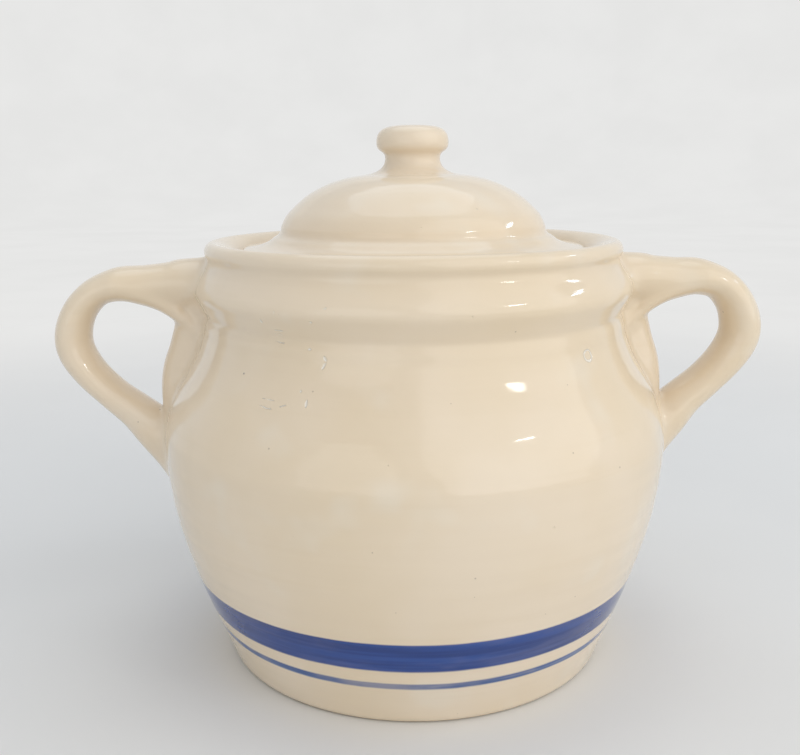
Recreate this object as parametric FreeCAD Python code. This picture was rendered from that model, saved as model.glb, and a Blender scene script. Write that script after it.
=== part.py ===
import FreeCAD, Part
import math
import os

# Lidded stoneware butter crock: a bellied pot with two loop handles, a waisted neck with a collar,
# an inner ledge for the lid, and two brushed bands near the foot.
# Millimetres. Origin: centre of the underside. +Z up, the handles lie along X.

# Pot, outside. Each rise is counted from the station below it.
foot_radius = 82.2          # where the side wall starts, above the rounded foot edge
foot_edge = 5.0             # height of the rounded foot edge
foot_slope = 0.37           # how fast the wall opens above the foot, mm per mm
belly_radius = 104.2
belly_rise = 87.3
shoulder_radius = 94.6
shoulder_rise = 27.7
shoulder_slope = -0.63
waist_radius = 85.7
waist_rise = 23.4
collar_radius = 89.3
collar_rise = 11.6
neck_radius = 84.2
neck_rise = 11.0
lip_bead = 3.7              # radius of the rolled lip
lip_overhang = 1.2          # how far the rolled lip stands out past the neck

# Pot, inside
wall = 6.8
floor_thickness = 9.0
floor_corner = 16.0         # size of the curve from the floor into the wall
ledge_width = 8.0
ledge_lip = 6.0             # thickness of the ledge at its inner edge
lid_drop = 7.4              # from the top of the lip down to the ledge
foot_ring_width = 9.0
foot_recess = 1.8

# Brushed bands, each a thin skin let into the wall
band_depth = 0.6
narrow_band_height = 17.6   # lower edge, above the table
narrow_band_width = 2.7
wide_band_height = 26.3
wide_band_width = 12.4

# Lid
lid_side_clearance = 1.8    # between the flange and the wall above the ledge
ring_clearance = 2.0        # between the locating ring and the throat
flange_thickness = 4.6
flange_width = 12.5         # from the flange's edge to the foot of the dome
flange_crown = 3.0          # how much the flange rises towards the dome
step_width = 3.6            # the small step round the foot of the dome
step_height = 3.4
dome_rise = 22.8
lid_wall = 5.5
ring_depth = 8.0
ring_width = 5.2

# Knob on the lid
knob_radius = 14.7
knob_neck_radius = 11.2
knob_foot_radius = 15.6
knob_height = 19.0          # above the top of the dome
knob_neck_height = 5.6
knob_top_edge = 5.0         # size of the rounded top edge

# Handles
handle_overhang = 45.0      # how far a handle stands out past the belly
handle_depth = 22.0         # across the handle, front to back
root_depth = 28.0           # the same where a handle meets the pot
handle_low = 17.3           # the lowest point of the loop, below the belly's widest point
bury = 12.0                 # how deep the roots run into the pot before they are trimmed

# Heights that follow from the rises
belly_height = foot_edge + belly_rise
shoulder_height = belly_height + shoulder_rise
waist_height = shoulder_height + waist_rise
collar_height = waist_height + collar_rise
neck_height = collar_height + neck_rise
lip_radius = neck_radius + lip_overhang
lip_height = neck_height + lip_bead
rim_height = lip_height + lip_bead
ledge_height = rim_height - lid_drop

OUTER = [
    (foot_edge, foot_radius, foot_slope),
    (belly_height, belly_radius, 0.0),
    (shoulder_height, shoulder_radius, shoulder_slope),
    (waist_height, waist_radius, 0.0),
    (collar_height, collar_radius, 0.0),
    (neck_height, neck_radius, 0.0),
]                           # (height, radius, slope) up the wall


def at(radius, height):
    """A point of a turned profile."""
    return FreeCAD.Vector(radius, 0, height)


def bezier(*poles):
    """One Bezier edge through its first and last pole."""
    curve = Part.BezierCurve()
    curve.setPoles([at(*pole) for pole in poles])
    return curve.toShape()


def line(start, end):
    return Part.makeLine(at(*start), at(*end))


def arc(start, middle, end):
    return Part.Arc(at(*start), at(*middle), at(*end)).toShape()


def smooth(points, first_way, last_way):
    """A smooth edge through the points, with the way it runs at each end."""
    curve = Part.BSplineCurve()
    curve.interpolate(
        Points=[at(*point) for point in points],
        InitialTangent=at(*first_way),
        FinalTangent=at(*last_way),
    )
    return curve.toShape()


def turned(edges):
    """The solid that a closed profile makes when it is turned about the axis, with its seam at +Y,
    well away from both handles."""
    axis = FreeCAD.Vector(0, 0, 1)
    face = Part.Face(Part.Wire(edges))
    face.rotate(FreeCAD.Vector(), axis, 90)
    return face.revolve(FreeCAD.Vector(), axis, 360)


def drum(radius, low, high):
    """A plain cylinder on the axis, between two heights."""
    return Part.makeCylinder(radius, high - low, FreeCAD.Vector(0, 0, low))


def wall_edges(inset, lowest=0):
    """The wall's curve up through the stations, moved in by inset, from one station on."""
    edges = []
    for (z0, r0, m0), (z1, r1, m1) in zip(OUTER[lowest:], OUTER[lowest + 1:]):
        third = (z1 - z0) / 3
        edges.append(bezier(
            (r0 - inset, z0),
            (r0 - inset + m0 * third, z0 + third),
            (r1 - inset - m1 * third, z1 - third),
            (r1 - inset, z1),
        ))
    return edges


def full_pot(inset=0.0):
    """The pot as if it were solid, with every wall moved in by inset."""
    base_radius = foot_radius - foot_edge * 0.8 - inset
    top = rim_height - inset
    bead = lip_bead - inset
    crest = lip_radius - lip_bead
    edges = [
        line((0, inset), (base_radius, inset)),
        bezier((base_radius, inset), (foot_radius - foot_edge * foot_slope * 0.7 - inset, inset),
               (foot_radius - foot_edge * foot_slope * 0.5 - inset, (foot_edge + inset) * 0.5),
               (foot_radius - inset, foot_edge)),
    ]
    edges += wall_edges(inset)
    edges += [
        bezier((neck_radius - inset, neck_height),
               (neck_radius - inset, neck_height + lip_bead * 0.5),
               (crest + bead, lip_height - lip_bead * 0.6),
               (crest + bead, lip_height)),
        arc((crest + bead, lip_height),
            (crest + bead * math.cos(math.radians(45)), lip_height + bead * math.sin(math.radians(45))),
            (crest, top)),
        line((crest, top), (0, top)),
        line((0, top), (0, inset)),
    ]
    return turned(edges)


def wall_radius(height):
    """The outside radius of the pot at a height between the foot and the neck."""
    for (z0, r0, m0), (z1, r1, m1) in zip(OUTER, OUTER[1:]):
        if height <= z1:
            break
    span = z1 - z0
    t = (height - z0) / span
    start = (1 + 2 * t) * (1 - t)**2 * r0 + t * (1 - t)**2 * span * m0
    end = t**2 * (3 - 2 * t) * r1 + t**2 * (t - 1) * span * m1
    return start + end


def throat_radius():
    """The inner edge of the ledge, which is the way into the pot."""
    return gallery_radius() - ledge_width


def gallery_radius():
    """The upright wall just above the ledge, which holds the lid in place."""
    return neck_radius - wall - 5.0


def cavity():
    """Everything that is hollow in the pot, from its floor to the top of the lip."""
    start = floor_thickness + floor_corner
    radius = wall_radius(start) - wall
    rise = (belly_height - start) / 3
    slope = foot_slope * (belly_height - start) / belly_rise
    under = ledge_height - ledge_lip
    crest = lip_radius - lip_bead
    edges = [
        line((0, floor_thickness), (radius - floor_corner, floor_thickness)),
        bezier((radius - floor_corner, floor_thickness),
               (radius - floor_corner * 0.35, floor_thickness),
               (radius - slope * floor_corner * 0.6, start - floor_corner * 0.6),
               (radius, start)),
        bezier((radius, start), (radius + slope * rise, start + rise),
               (belly_radius - wall, belly_height - rise), (belly_radius - wall, belly_height)),
    ]
    edges += wall_edges(wall, lowest=1)[:2]
    edges += [
        bezier((waist_radius - wall, waist_height),
               (waist_radius - wall, waist_height + collar_rise * 0.7),
               (throat_radius(), under - collar_rise * 0.6),
               (throat_radius(), under)),
        line((throat_radius(), under), (throat_radius(), ledge_height)),
        line((throat_radius(), ledge_height), (gallery_radius(), ledge_height)),
        bezier((gallery_radius(), ledge_height),
               (gallery_radius() + 0.4, ledge_height + lid_drop * 0.55),
               (crest - 3.4, rim_height - lid_drop * 0.05),
               (crest, rim_height)),
        line((crest, rim_height), (0, rim_height)),
        line((0, rim_height), (0, floor_thickness)),
    ]
    return turned(edges)


def band(height, width):
    """A thin ring of brushed colour that lies flush in the wall between two heights."""
    skin = full_pot().cut(full_pot(band_depth))
    return skin.common(drum(2 * belly_radius, height, height + width))


def foot_hollow():
    """The shallow recess inside the foot ring."""
    return drum(foot_radius - foot_edge * 0.8 - foot_ring_width, 0, foot_recess)


def crock_body(bands):
    """The turned pot with its foot ring, its ledge and the beds of the two bands."""
    pot = full_pot().cut(cavity()).cut(foot_hollow())
    for ring in bands:
        pot = pot.cut(ring)
    return pot


def flange_radius():
    return gallery_radius() - lid_side_clearance


def dome_points():
    """Points up the outside of the dome, from its foot to its top: (radius, height)."""
    radius = flange_radius() - flange_width - step_width
    low = ledge_height + flange_thickness + flange_crown + step_height
    shares = [(1.0, 0.0), (0.92, 0.32), (0.73, 0.71), (0.45, 0.94), (0.0, 1.0)]
    return [(radius * r, low + dome_rise * z) for r, z in shares]


def dome_top():
    return dome_points()[-1][1]


def full_lid():
    """The lid as if it were solid above its seat."""
    edge = flange_thickness / 2
    dome = dome_points()
    foot = flange_radius() - flange_width
    crown = ledge_height + flange_thickness + flange_crown
    edges = [
        line((0, ledge_height), (flange_radius() - edge, ledge_height)),
        arc((flange_radius() - edge, ledge_height), (flange_radius(), ledge_height + edge),
            (flange_radius() - edge, ledge_height + flange_thickness)),
        bezier((flange_radius() - edge, ledge_height + flange_thickness),
               (flange_radius() - flange_width * 0.6, ledge_height + flange_thickness + 0.4),
               (foot + 1.6, crown - 1.0),
               (foot, crown)),
        bezier((foot, crown), (foot - 1.0, crown + 1.4),
               (dome[0][0] + 0.6, dome[0][1] - 2.4), dome[0]),
        smooth(dome, (-0.1, 1), (-1, 0)),
        line(dome[-1], (0, ledge_height)),
    ]
    return turned(edges)


def lid_hollow():
    """The hollow under the dome."""
    low = ledge_height - ring_depth
    ring_inside = throat_radius() - ring_clearance - ring_width
    dome = dome_points()
    share = (dome[0][0] - lid_wall) / dome[0][0]
    inner = [(r * share, z - lid_wall) for r, z in dome]
    edges = [
        line((0, low), (ring_inside, low)),
        line((ring_inside, low), (ring_inside, ledge_height)),
        bezier((ring_inside, ledge_height), (ring_inside, ledge_height + 3.0),
               (inner[0][0] + 0.6, inner[0][1] - 3.0), inner[0]),
        smooth(inner, (-0.1, 1), (-1, 0)),
        line(inner[-1], (0, low)),
    ]
    return turned(edges)


def lid():
    """The domed lid with its flange and the ring below that keeps it in the throat."""
    ring = drum(throat_radius() - ring_clearance, ledge_height - ring_depth, ledge_height)
    return full_lid().fuse(ring).removeSplitter().cut(lid_hollow())


def lid_knob():
    """The turned knob, which sits on the dome with a flared foot."""
    top = dome_top() + knob_height
    widest = top - knob_top_edge - 2.0
    neck = dome_top() + knob_neck_height
    buried = dome_top() - 2.0
    edges = [
        line((0, buried), (knob_foot_radius, buried)),
        bezier((knob_foot_radius, buried), (knob_neck_radius + 1.0, dome_top() + 0.4),
               (knob_neck_radius, neck - 2.0), (knob_neck_radius, neck)),
        bezier((knob_neck_radius, neck), (knob_neck_radius, neck + 3.0),
               (knob_radius, widest - 3.6), (knob_radius, widest)),
        bezier((knob_radius, widest), (knob_radius, widest + knob_top_edge),
               (knob_radius - knob_top_edge * 0.8, top), (0, top)),
        line((0, top), (0, buried)),
    ]
    return turned(edges).cut(full_lid())


def oval(reach, height, thickness, depth, way):
    """An oval across a limb of the handle, square to the way that the limb runs."""
    across = FreeCAD.Vector(way.z, 0, -way.x).normalize() * (thickness / 2)
    place = FreeCAD.Matrix(
        0, across.x, 0, reach,
        depth / 2, 0, 0, 0,
        0, across.z, 1, height,
        0, 0, 0, 1,
    )
    circle = Part.Circle(FreeCAD.Vector(), FreeCAD.Vector(0, 0, 1), 1).toShape()
    return Part.Wire(circle.transformGeometry(place))


def limb(stations):
    """A bent bar through ovals. A station is (reach, height, thickness, depth)."""
    ovals = []
    for i, (reach, height, thickness, depth) in enumerate(stations):
        before = stations[max(i - 1, 0)]
        after = stations[min(i + 1, len(stations) - 1)]
        way = at(after[0] - before[0], after[1] - before[1])
        ovals.append(oval(reach, height, thickness, depth, way))
    return Part.makeLoft(ovals, True, False)


def handle_right():
    """The loop handle at +X: one bent bar, closed on the pot's side by a low back."""
    reach = belly_radius + handle_overhang
    low = belly_height - handle_low
    rise = neck_height - low
    # A station of the bar: its share of the way from the wall to the full reach, its share of the
    # loop's height, and its thickness and depth.
    loop = [
        (0.10, 0.890, 19.5, root_depth - 1),
        (0.31, 0.888, 16.0, handle_depth + 1),
        (0.51, 0.894, 13.2, handle_depth),
        (0.70, 0.850, 12.8, handle_depth),
        (0.825, 0.769, 14.5, handle_depth),
        (0.87, 0.667, 16.4, handle_depth),
        (0.84, 0.575, 16.2, handle_depth),
        (0.73, 0.475, 14.8, handle_depth),
        (0.535, 0.376, 14.0, handle_depth),
        (0.315, 0.290, 15.6, handle_depth + 1),
        (0.11, 0.198, 19.5, root_depth - 3),
    ]
    # A station of the back: its share of the loop's height, how far it stands out from the wall, and
    # its thickness and depth.
    back = [
        (0.90, 2.0, 22, root_depth - 4),
        (0.70, 13.4, 24, handle_depth + 1),
        (0.58, 12.6, 24, handle_depth + 1),
        (0.46, 10.2, 24, handle_depth + 2),
        (0.34, 4.8, 24, root_depth - 3),
        (0.16, -2.0, 24, root_depth - 2),
    ]
    top = low + 0.868 * rise
    foot = low + 0.085 * rise
    bar = [(wall_radius(top) - bury, top, 18, root_depth - 2)]
    for u, v, thickness, depth in loop:
        height = low + v * rise
        wall_there = wall_radius(height)
        bar.append((wall_there + u * (reach - wall_there), height, thickness, depth))
    bar.append((wall_radius(foot) - bury / 2, foot, 24, root_depth - 2))
    closing = []
    for v, out, thickness, depth in back:
        height = low + v * rise
        closing.append((wall_radius(height) + out - thickness / 2, height, thickness, depth))
    return limb(bar).fuse(limb(closing)).cut(full_pot())


def write(node, shape):
    """Checks one sub-part and writes it as a STEP file."""
    solids = shape.Solids
    whole = solids[0] if len(solids) == 1 else Part.makeCompound(solids)
    print(node, "solids", len(solids), "valid", whole.isValid(), "cm3", round(whole.Volume / 1000, 2))
    whole.exportStep(os.path.join("parts", node + ".step"))


os.makedirs("parts", exist_ok=True)
wide_band = band(wide_band_height, wide_band_width)
narrow_band = band(narrow_band_height, narrow_band_width)
right = handle_right()
write("crock_body", crock_body([wide_band, narrow_band]))
write("handle_right", right)
write("handle_left", right.mirror(FreeCAD.Vector(), FreeCAD.Vector(1, 0, 0)))
write("wide_band", wide_band)
write("narrow_band", narrow_band)
write("lid", lid())
write("lid_knob", lid_knob())
inside = cavity().common(drum(2 * belly_radius, 0, ledge_height))
print("holds litres to the ledge", round(inside.Volume / 1e6, 2))
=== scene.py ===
import math

import bpy
import numpy as np
from mathutils import Matrix, Vector


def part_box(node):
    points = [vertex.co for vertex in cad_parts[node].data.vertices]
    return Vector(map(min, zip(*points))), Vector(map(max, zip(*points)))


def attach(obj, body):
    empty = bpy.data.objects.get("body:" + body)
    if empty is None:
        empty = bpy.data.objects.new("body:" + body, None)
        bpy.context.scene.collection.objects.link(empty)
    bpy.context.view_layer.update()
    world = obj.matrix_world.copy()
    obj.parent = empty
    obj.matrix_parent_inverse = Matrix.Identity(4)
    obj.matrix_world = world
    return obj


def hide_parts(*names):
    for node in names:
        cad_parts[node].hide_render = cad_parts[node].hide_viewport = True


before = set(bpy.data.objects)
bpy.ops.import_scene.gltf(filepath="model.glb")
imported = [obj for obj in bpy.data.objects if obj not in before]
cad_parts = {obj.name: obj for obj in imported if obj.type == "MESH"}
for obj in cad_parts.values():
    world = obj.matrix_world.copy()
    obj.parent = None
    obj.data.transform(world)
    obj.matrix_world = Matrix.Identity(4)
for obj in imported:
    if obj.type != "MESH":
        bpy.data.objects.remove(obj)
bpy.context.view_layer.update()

# A lidded stoneware crock. The construction model gives where everything is. The pieces here stand
# for its nodes one by one, with the soft edges, luted joints and glaze of a fired pot.
# Shapes are worked out in millimetres in the row frame, and each mesh is written in metres.

MM = 0.001


def node_mm(node):
    """Lowest and highest corner of a construction node, in millimetres."""
    low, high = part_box(node)
    return np.array(low) / MM, np.array(high) / MM


POT_HIGH = node_mm("crock_body")[1]
LID_LOW, LID_HIGH = node_mm("lid")
KNOB_HIGH = node_mm("lid_knob")[1]
HANDLE_HIGH = node_mm("handle_right")[1]
WIDE_LOW, WIDE_HIGH = node_mm("wide_band")
NARROW_LOW, NARROW_HIGH = node_mm("narrow_band")

RIM = POT_HIGH[2]          # top of the lip
BELLY = POT_HIGH[1]        # widest radius of the pot
RING_LOW = LID_LOW[2]      # lowest point of the lid's locating ring
FLANGE_RADIUS = LID_HIGH[0]
DOME_TOP = LID_HIGH[2]
KNOB_RADIUS, _, KNOB_TOP = KNOB_HIGH
REACH = HANDLE_HIGH[0]     # how far the handles reach from the axis

# Stations up the outside of the pot: (height, radius, slope). The heights count down from the rim and
# the radii in from the belly, as the construction model has them.
FOOT_EDGE = 5.0
FOOT_SLOPE = 0.37
FOOT_RADIUS = BELLY - 22.0
WALL = [
    (FOOT_EDGE, FOOT_RADIUS, FOOT_SLOPE),
    (RIM - 81.1, BELLY, 0.0),
    (RIM - 53.4, BELLY - 9.6, -0.63),
    (RIM - 30.0, BELLY - 18.5, 0.0),
    (RIM - 18.4, BELLY - 14.9, 0.0),
    (RIM - 7.4, BELLY - 20.0, 0.0),
]
NECK_RADIUS = WALL[-1][1]
LIP_BEAD = 3.7
LIP_CREST = NECK_RADIUS + 1.2 - LIP_BEAD
LIP_MIDDLE = RIM - LIP_BEAD
WALL_THICKNESS = 6.8
FLOOR = 9.0
FLOOR_CORNER = 16.0
GALLERY_RADIUS = FLANGE_RADIUS + 1.8       # inside of the mouth, down to the ledge
THROAT_RADIUS = GALLERY_RADIUS - 8.0       # inside of the ledge
LEDGE = RING_LOW + 8.0                     # what the lid's flange rests on
LEDGE_UNDERSIDE = LEDGE - 6.0
FOOT_RING_WIDTH = 9.0
FOOT_RECESS = 1.8


# ---------------------------------------------------------------- curves and profiles

def hermite(z0, r0, m0, z1, r1, m1, z):
    """Radius at heights z between two stations."""
    span = z1 - z0
    t = (z - z0) / span
    start = (1 + 2 * t) * (1 - t) ** 2 * r0 + t * (1 - t) ** 2 * span * m0
    end = t ** 2 * (3 - 2 * t) * r1 + t ** 2 * (t - 1) * span * m1
    return start + end


def bezier(*poles, count=24):
    """Points along a cubic Bezier curve, its last point left out."""
    p = np.array(poles, float)
    t = np.linspace(0, 1, count, endpoint=False)[:, None]
    return p[0] * (1 - t) ** 3 + 3 * p[1] * t * (1 - t) ** 2 + 3 * p[2] * t ** 2 * (1 - t) + p[3] * t ** 3


def wall_points(inset, first=0, last=None):
    """(radius, height) up the wall, moved in by inset, between two stations."""
    rows = []
    stations = WALL[first:last]
    for low, high in zip(stations, stations[1:]):
        z = np.linspace(low[0], high[0], 60, endpoint=False)
        rows.append(np.stack([hermite(*low, *high, z) - inset, z], 1))
    return np.concatenate(rows)


def even(points, step=0.2):
    """The same path with points at an even distance."""
    gaps = np.hypot(*np.diff(points, axis=0).T)
    run = np.concatenate([[0], np.cumsum(gaps)])
    keep = np.concatenate([[True], gaps > 1e-9])
    at = np.linspace(0, run[-1], max(int(run[-1] / step), 2))
    return np.stack([np.interp(at, run[keep], points[keep, i]) for i in (0, 1)], 1)


def softened(points, sigma, step=0.2):
    """The path with every corner rounded, as glaze rounds it. Ends on the axis stay level."""
    path = even(points, step)
    reach = int(4 * sigma / step)
    head = path[1:reach + 1][::-1] * [-1, 1]
    tail = path[-reach - 1:-1][::-1] * [-1, 1]
    long = np.concatenate([head, path, tail])
    weight = np.exp(-0.5 * (np.arange(-reach, reach + 1) * step / sigma) ** 2)
    weight /= weight.sum()
    smooth = np.stack([np.convolve(long[:, i], weight, "valid") for i in (0, 1)], 1)
    smooth[[0, -1], 0] = 0
    return smooth


def thinned(path, count, bend_weight=9.0):
    """The path with count points, closer together where it bends."""
    step = np.hypot(*np.diff(path, axis=0).T)
    way = np.unwrap(np.arctan2(*np.diff(path, axis=0).T))
    bend = np.abs(np.gradient(way))
    cost = np.concatenate([[0], np.cumsum(step + bend_weight * bend)])
    at = np.linspace(0, cost[-1], count)
    return np.stack([np.interp(at, cost, path[:, i]) for i in (0, 1)], 1)


# ---------------------------------------------------------------- the hand of the potter

def bell(z, middle, width):
    """A smooth bump of height 1 about a height."""
    return np.exp(-0.5 * ((z - middle) / width) ** 2)


def ridge(z):
    """Turned rings that stand out of the drawn wall, in mm, the same all the way round."""
    return (
        -0.55 * bell(z, WALL[3][0] + 0.4, 1.3)
        + 0.34 * bell(z, WALL[3][0] - 4.0, 2.3)
        + 0.48 * bell(z, WALL[4][0] - 2.4, 1.5)
        - 0.20 * bell(z, WALL[4][0] + 3.5, 2.4)
        + 0.20 * bell(z, WALL[3][0] - 9.0, 1.7)
        + 0.18 * bell(z, WALL[3][0] - 13.0, 4.0)
        + 0.45 * bell(z, 55.0, 22.0)
    )


def relief(angle, z):
    """How far the outside of the pot strays from round and even, in mm."""
    inside = np.clip((z - 8) / 20, 0, 1) * np.clip((LIP_MIDDLE - z) / 10, 0, 1)
    spiral = (0.034 * np.sin(2 * math.pi * z / 9.1 + angle)
              + 0.013 * np.sin(2 * math.pi * z / 5.3 + angle + 1.1))
    warp = 0.18 * np.sin(2 * angle + 0.7 + z / 90) + 0.08 * np.sin(3 * angle - 1.2 - z / 60)
    slow = 0.08 * np.sin(5 * angle + z / 21) * np.sin(z / 17 + 0.4)
    uneven = 0.25 * ridge(z) * np.sin(2 * angle + 0.5)
    return (spiral + warp + slow + uneven) * inside


def outer_path():
    """(radius, height) up the outside of the pot, from the foot's edge to the crest of the lip."""
    base = FOOT_RADIUS - FOOT_EDGE * 0.8
    foot = bezier((base, 0), (FOOT_RADIUS - FOOT_EDGE * FOOT_SLOPE * 0.7, 0),
                  (FOOT_RADIUS - FOOT_EDGE * FOOT_SLOPE * 0.5, FOOT_EDGE * 0.5), (FOOT_RADIUS, FOOT_EDGE))
    wall = wall_points(0)
    wall[:, 0] += ridge(wall[:, 1])
    neck = bezier((NECK_RADIUS, WALL[-1][0]), (NECK_RADIUS, WALL[-1][0] + LIP_BEAD * 0.5),
                  (LIP_CREST + LIP_BEAD, LIP_MIDDLE - LIP_BEAD * 0.6), (LIP_CREST + LIP_BEAD, LIP_MIDDLE))
    turn = np.radians(np.linspace(0, 90, 30, endpoint=False))
    lip = np.stack([LIP_CREST + LIP_BEAD * np.cos(turn), LIP_MIDDLE + LIP_BEAD * np.sin(turn)], 1)
    return np.concatenate([foot, wall, neck, lip])


def inner_path():
    """(radius, height) down the inside of the pot, from the crest of the lip to the floor's centre."""
    start = FLOOR + FLOOR_CORNER
    low, high = WALL[0], WALL[1]
    radius = float(hermite(*low, *high, start)) - WALL_THICKNESS
    slope = FOOT_SLOPE * (high[0] - start) / (high[0] - low[0])
    collar_rise = WALL[4][0] - WALL[3][0]
    waist = WALL[3]
    drop = RIM - LEDGE
    gallery = bezier((LIP_CREST, RIM), (LIP_CREST - 3.4, RIM - drop * 0.05),
                     (GALLERY_RADIUS + 0.4, LEDGE + drop * 0.55), (GALLERY_RADIUS, LEDGE))
    ledge = np.array([(GALLERY_RADIUS, LEDGE), (THROAT_RADIUS, LEDGE), (THROAT_RADIUS, LEDGE_UNDERSIDE)])
    under = bezier((THROAT_RADIUS, LEDGE_UNDERSIDE), (THROAT_RADIUS, LEDGE_UNDERSIDE - collar_rise * 0.6),
                   (waist[1] - WALL_THICKNESS, waist[0] + collar_rise * 0.7),
                   (waist[1] - WALL_THICKNESS, waist[0]))
    side = wall_points(WALL_THICKNESS, first=1, last=4)[::-1]
    rise = (high[0] - start) / 3
    belly = bezier((high[1] - WALL_THICKNESS, high[0]), (high[1] - WALL_THICKNESS, high[0] - rise),
                   (radius + slope * rise, start + rise), (radius, start))
    corner = bezier((radius, start), (radius - slope * FLOOR_CORNER * 0.6, start - FLOOR_CORNER * 0.6),
                    (radius - FLOOR_CORNER * 0.35, FLOOR), (radius - FLOOR_CORNER, FLOOR))
    return np.concatenate([gallery, ledge, under, side, belly, corner, [(0, FLOOR)]])


FOOT_BASE = FOOT_RADIUS - FOOT_EDGE * 0.8
FOOT_INSIDE = FOOT_BASE - FOOT_RING_WIDTH


def pot_section():
    """The whole rounded section of the pot: underside, outside, lip, inside."""
    underside = np.array([(0, FOOT_RECESS), (FOOT_INSIDE, FOOT_RECESS), (FOOT_INSIDE, 0), (FOOT_BASE, 0)])
    path = softened(np.concatenate([underside, outer_path(), inner_path()]), 0.55)
    path[:, 1] = np.maximum(path[:, 1], 0)
    return path


SECTION = pot_section()
CREST = int(np.argmax(SECTION[:, 1]))
FOOT_START = int(np.argmax(SECTION[:, 0] > FOOT_BASE))
RISING = SECTION[FOOT_START:CREST + 1]
RISING = RISING[np.argsort(RISING[:, 1], kind="stable")]


def pot_radius(z):
    """The turned outside radius at a height, relief left out."""
    return np.interp(z, RISING[:, 1], RISING[:, 0])


# ---------------------------------------------------------------- meshes

def mesh_piece(name, points_mm, faces, body, material, stands_for):
    """A smooth piece from points in millimetres, riding on a body and standing for nodes."""
    mesh = bpy.data.meshes.new(name)
    mesh.from_pydata((np.asarray(points_mm) * MM).tolist(), [], faces)
    mesh.validate()
    mesh.polygons.foreach_set("use_smooth", np.ones(len(mesh.polygons), bool))
    mesh.materials.append(material)
    piece = bpy.data.objects.new(name, mesh)
    bpy.context.scene.collection.objects.link(piece)
    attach(piece, body)
    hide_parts(*stands_for)
    return piece


def lathe(profile, turns, bulge=None):
    """Points and faces of a profile turned about the axis. It either starts and ends on the axis, or is
    a closed ring. bulge(angle, height, radius) is added to the radius."""
    angle = np.linspace(0, 2 * math.pi, turns, endpoint=False)
    on_axis = profile[0][0] == 0
    rows = profile[1:-1] if on_axis else profile
    radius = np.repeat(rows[:, 0][:, None], turns, 1)
    height = np.repeat(rows[:, 1][:, None], turns, 1)
    if bulge is not None:
        radius = radius + bulge(angle[None, :], rows[:, 1][:, None], rows[:, 0][:, None])
    points = np.stack([radius * np.cos(angle), radius * np.sin(angle), height], 2).reshape(-1, 3)
    count = len(rows)
    i, j = (part.ravel() for part in np.meshgrid(np.arange(count - 1), np.arange(turns), indexing="ij"))
    nxt = (j + 1) % turns
    quads = [i * turns + j, i * turns + nxt, (i + 1) * turns + nxt, (i + 1) * turns + j]
    faces = np.stack(quads, 1).tolist()
    around = np.arange(turns)
    after = (around + 1) % turns
    end = (count - 1) * turns
    if on_axis:
        first, last = len(points), len(points) + 1
        points = np.concatenate([points, [[0, 0, profile[0][1]], [0, 0, profile[-1][1]]]])
        faces += np.stack([after, around, np.full(turns, first)], 1).tolist()
        faces += np.stack([end + around, end + after, np.full(turns, last)], 1).tolist()
    else:
        faces += np.stack([end + around, end + after, after, around], 1).tolist()
    return points, faces


def surface_of(field, low, step):
    """Points and quads of the surface where a sampled field is zero, one point to a mixed cell."""
    cells = np.array(field.shape) - 1
    total = np.zeros((int(cells.prod()), 3))
    count = np.zeros(int(cells.prod()))
    quads = []
    for a in range(3):
        b, c = (a + 1) % 3, (a + 2) % 3
        lower = np.take(field, range(field.shape[a] - 1), axis=a)
        upper = np.take(field, range(1, field.shape[a]), axis=a)
        edge = np.argwhere((lower < 0) != (upper < 0))
        across = edge[:, [b, c]]
        edge = edge[(across > 0).all(1) & (across < cells[[b, c]]).all(1)]
        start, stop = lower[tuple(edge.T)], upper[tuple(edge.T)]
        point = edge.astype(float)
        point[:, a] += start / (start - stop)
        ring = []
        for shift_b, shift_c in ((0, 0), (-1, 0), (-1, -1), (0, -1)):
            cell = edge.copy()
            cell[:, b] += shift_b
            cell[:, c] += shift_c
            index = np.ravel_multi_index(cell.T, cells)
            np.add.at(total, index, point)
            np.add.at(count, index, 1)
            ring.append(index)
        ring = np.stack(ring, 1)
        ring[start >= 0] = ring[start >= 0][:, ::-1]
        quads.append(ring)
    used, faces = np.unique(np.concatenate(quads), return_inverse=True)
    points = total[used] / count[used][:, None] * step + low
    return points, faces.reshape(-1, 4)


# ---------------------------------------------------------------- handles

ROOT_DEPTH = 28.0     # front to back, where a handle meets the pot
HANDLE_DEPTH = 22.0   # front to back, further out
BURY = 12.0           # how far the bar's ends run on into the pot
# The bar of the loop: (share of the way from the wall to the full reach, share of the loop's height,
# thickness, depth). Its back, against the wall: (share of the height, stand-out, thickness, depth).
LOOP = [
    (0.10, 0.889, 20.0, ROOT_DEPTH - 2),
    (0.22, 0.889, 17.2, HANDLE_DEPTH + 2),
    (0.36, 0.890, 15.2, HANDLE_DEPTH),
    (0.53, 0.890, 13.6, HANDLE_DEPTH),
    (0.70, 0.851, 12.9, HANDLE_DEPTH),
    (0.83, 0.769, 13.8, HANDLE_DEPTH),
    (0.88, 0.667, 15.0, HANDLE_DEPTH),
    (0.86, 0.575, 15.0, HANDLE_DEPTH),
    (0.745, 0.475, 13.8, HANDLE_DEPTH),
    (0.545, 0.376, 13.3, HANDLE_DEPTH),
    (0.32, 0.290, 15.0, HANDLE_DEPTH + 1),
    (0.11, 0.198, 19.0, ROOT_DEPTH - 3),
]
BACK = [
    (0.90, 2.0, 20, ROOT_DEPTH - 6),
    (0.78, 9.0, 22, HANDLE_DEPTH),
    (0.68, 12.8, 24, HANDLE_DEPTH - 2),
    (0.57, 12.2, 24, HANDLE_DEPTH - 2),
    (0.46, 9.8, 24, HANDLE_DEPTH - 1),
    (0.34, 4.8, 24, ROOT_DEPTH - 4),
    (0.16, -2.0, 24, ROOT_DEPTH - 2),
]
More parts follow.
